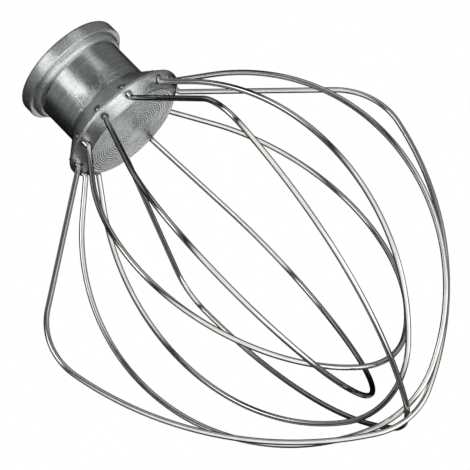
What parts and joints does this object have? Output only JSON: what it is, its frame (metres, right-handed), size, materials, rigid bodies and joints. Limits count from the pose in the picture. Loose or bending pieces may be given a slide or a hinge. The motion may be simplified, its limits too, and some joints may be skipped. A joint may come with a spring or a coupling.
{
  "type": "stand mixer wire whisk",
  "caption": "Wire whisk for a stand mixer: bent steel wire loops held in the flared rim of a turned aluminium hub with a bayonet bore for the drive shaft.",
  "frame": {"origin": "centre of the bore's mouth, on the hub's top face", "axes": "+Z along the hub's axis, out of the bore's mouth, so the wire loops hang towards -Z; +X lies along the mouth of the way for the shaft's cross pin"},
  "size_m": [0.1148, 0.1155, 0.1521],
  "materials": {
    "hub_metal": "turned and burnished, fine rings round the axis",
    "wire": "polished stainless steel wire"
  },
  "bodies": {
    "root": {"hub": "hub_metal", "loop_1": "wire", "loop_2": "wire", "loop_3": "wire", "loop_4": "wire", "loop_5": "wire", "loop_6": "wire"}
  },
  "joints": []
}
